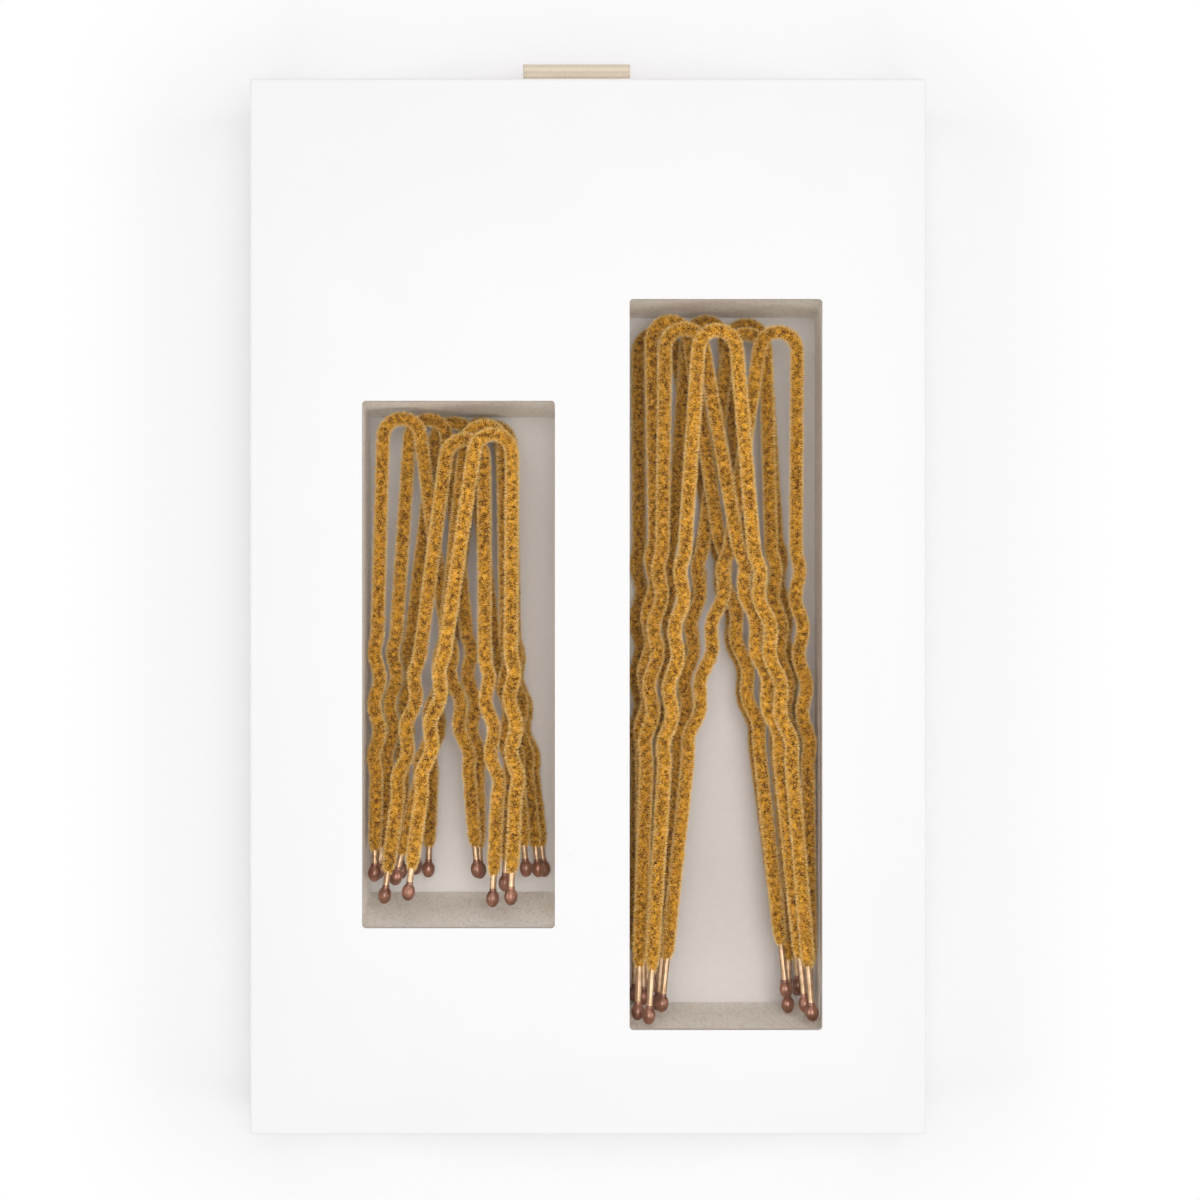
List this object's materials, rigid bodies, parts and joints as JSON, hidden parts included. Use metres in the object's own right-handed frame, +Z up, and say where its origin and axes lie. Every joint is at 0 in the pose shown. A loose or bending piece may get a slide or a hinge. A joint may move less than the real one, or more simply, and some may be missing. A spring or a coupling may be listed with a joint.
{
  "type": "boxed hairpin set",
  "caption": "Slide box with two clear windows over a foam insert holding long and short flocked wire hairpins with beaded tips; the tray pulls out by a ribbon.",
  "frame": {"origin": "centre of the sleeve's underside", "axes": "+Z up through the windows, +Y along the box to the sleeve's open end and the ribbon, +X from the short hairpins to the long ones"},
  "size_m": [0.0624, 0.1006, 0.0164],
  "materials": {
    "sleeve_card": "coated white card, smooth, faint satin sheen",
    "clear_film": "clear glossy PET film",
    "tray_card": "uncoated off-white card",
    "beige_foam": "beige foam, fine grain, a little sparkle on the cut walls",
    "beige_ribbon": "beige grosgrain ribbon",
    "bronze_wire": "spring wire with a bronze lacquer",
    "golden_flock": "short golden-blonde flock, velvety",
    "tip_enamel": "dipped copper-brown resin bead, glossy"
  },
  "bodies": {
    "sleeve_body": {"sleeve": "sleeve_card", "window_film": "clear_film"},
    "tray_body": {"tray": "tray_card", "foam_insert": "beige_foam", "ribbon_pull": "beige_ribbon", "long_pin_1_wire": "bronze_wire", "long_pin_1_coat": "golden_flock", "long_pin_1_tips": "tip_enamel", "long_pin_2_wire": "bronze_wire", "long_pin_2_coat": "golden_flock", "long_pin_2_tips": "tip_enamel", "long_pin_3_wire": "bronze_wire", "long_pin_3_coat": "golden_flock", "long_pin_3_tips": "tip_enamel", "long_pin_4_wire": "bronze_wire", "long_pin_4_coat": "golden_flock", "long_pin_4_tips": "tip_enamel", "long_pin_5_wire": "bronze_wire", "long_pin_5_coat": "golden_flock", "long_pin_5_tips": "tip_enamel", "long_pin_6_wire": "bronze_wire", "long_pin_6_coat": "golden_flock", "long_pin_6_tips": "tip_enamel", "long_pin_7_wire": "bronze_wire", "long_pin_7_coat": "golden_flock", "long_pin_7_tips": "tip_enamel", "long_pin_8_wire": "bronze_wire", "long_pin_8_coat": "golden_flock", "long_pin_8_tips": "tip_enamel", "short_pin_1_wire": "bronze_wire", "short_pin_1_coat": "golden_flock", "short_pin_1_tips": "tip_enamel", "short_pin_2_wire": "bronze_wire", "short_pin_2_coat": "golden_flock", "short_pin_2_tips": "tip_enamel", "short_pin_3_wire": "bronze_wire", "short_pin_3_coat": "golden_flock", "short_pin_3_tips": "tip_enamel", "short_pin_4_wire": "bronze_wire", "short_pin_4_coat": "golden_flock", "short_pin_4_tips": "tip_enamel", "short_pin_5_wire": "bronze_wire", "short_pin_5_coat": "golden_flock", "short_pin_5_tips": "tip_enamel", "short_pin_6_wire": "bronze_wire", "short_pin_6_coat": "golden_flock", "short_pin_6_tips": "tip_enamel", "short_pin_7_wire": "bronze_wire", "short_pin_7_coat": "golden_flock", "short_pin_7_tips": "tip_enamel", "short_pin_8_wire": "bronze_wire", "short_pin_8_coat": "golden_flock", "short_pin_8_tips": "tip_enamel"}
  },
  "joints": [
    {"name": "tray_slide", "type": "slide", "parent": "sleeve_body", "child": "tray_body", "axis": [0, 1, 0], "range_m": [0, 0.09]}
  ]
}
